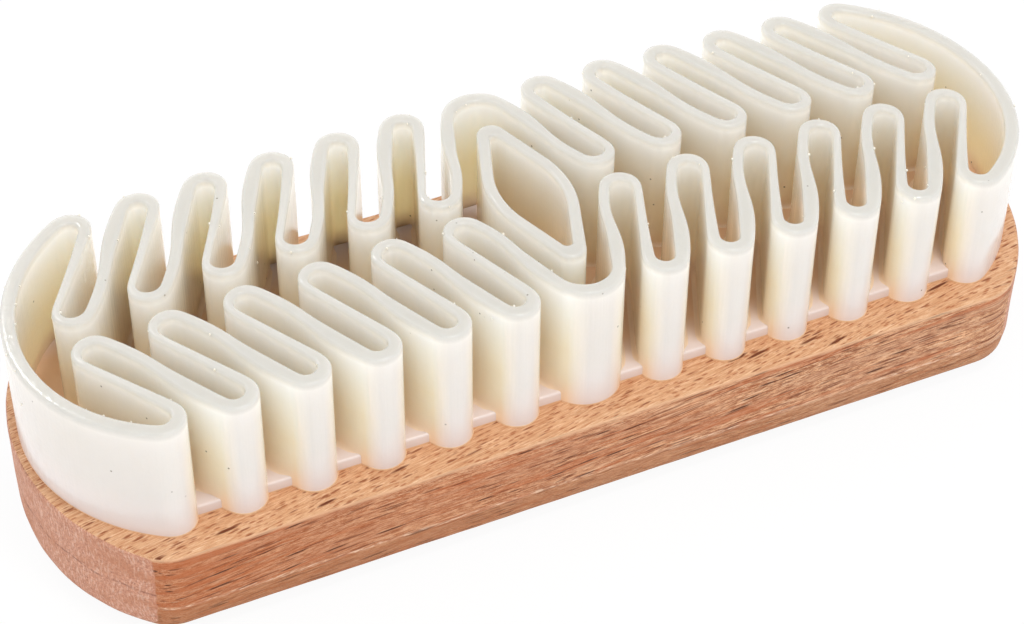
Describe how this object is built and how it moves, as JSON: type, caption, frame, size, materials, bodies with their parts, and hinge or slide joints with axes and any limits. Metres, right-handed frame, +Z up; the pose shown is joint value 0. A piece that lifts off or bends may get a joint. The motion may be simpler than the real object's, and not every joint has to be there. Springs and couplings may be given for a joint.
{
  "type": "suede brush",
  "caption": "Hand brush for suede and nubuck: a serpentine wall of crepe rubber with a leaf-shaped middle loop on a block-shaped beech back.",
  "frame": {"origin": "middle of the flat rest face under the beech back", "axes": "+Z up through the rubber, +X along the length of the brush, +Y across it; the brush lies rubber side up"},
  "size_m": [0.14, 0.0488, 0.0342],
  "materials": {
    "beech": "bare beech, sawn and sanded, orange-tan with dark pores and short flecks, pinker end grain",
    "contact_glue": "dried contact adhesive, amber, seen only as a hairline under the rubber",
    "crepe_rubber": "moulded natural crepe rubber, cream white, translucent, satin"
  },
  "bodies": {
    "root": {"beech_back": "beech", "glue_film": "contact_glue", "crepe_moulding": "crepe_rubber"}
  },
  "joints": []
}
